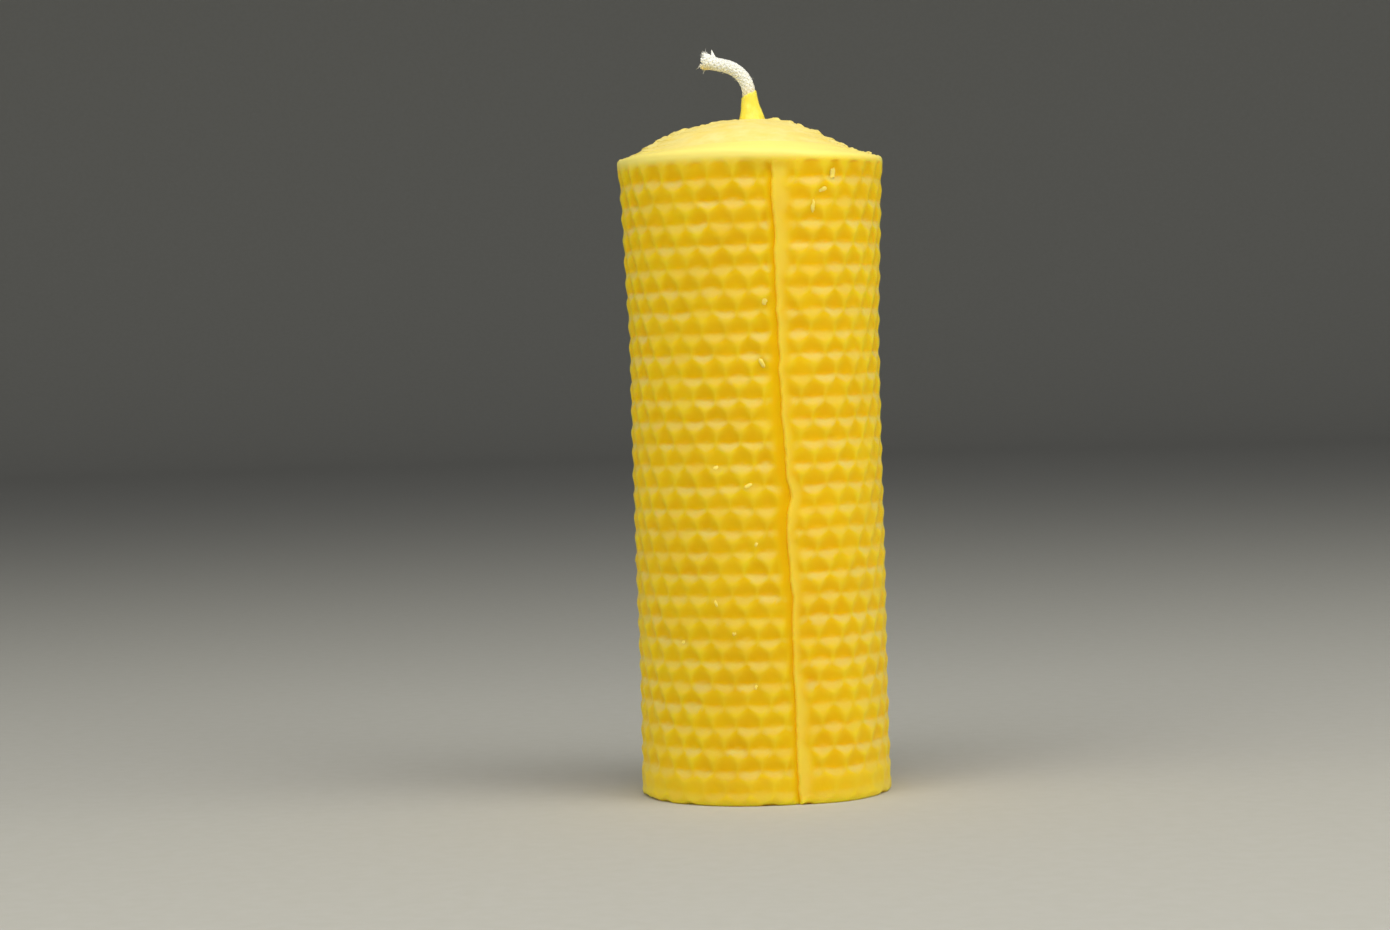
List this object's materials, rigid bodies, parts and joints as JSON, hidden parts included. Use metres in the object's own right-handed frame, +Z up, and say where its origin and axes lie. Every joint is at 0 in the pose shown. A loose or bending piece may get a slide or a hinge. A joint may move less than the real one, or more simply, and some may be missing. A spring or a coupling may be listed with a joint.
{
  "type": "honeycomb pillar candle",
  "caption": "Pillar candle rolled from embossed honeycomb wax sheets, with a lapped upright seam, a domed top and a bent braided wick in a collar of melted wax.",
  "frame": {"origin": "centre of the roll on the base plane", "axes": "+Z up along the wick, -Y towards the seam side, the wick leans over towards -X"},
  "size_m": [0.0581, 0.0586, 0.1633],
  "materials": {
    "honeycomb_wax": "satin beeswax, translucent",
    "sheet_wax": "satin beeswax, cut edges",
    "collar_wax": "smooth melted beeswax",
    "cotton": "braided cotton"
  },
  "bodies": {
    "root": {"outer_sheet": "honeycomb_wax", "middle_sheet": "sheet_wax", "inner_sheet": "sheet_wax", "wick": "cotton", "wax_collar": "collar_wax"}
  },
  "joints": []
}
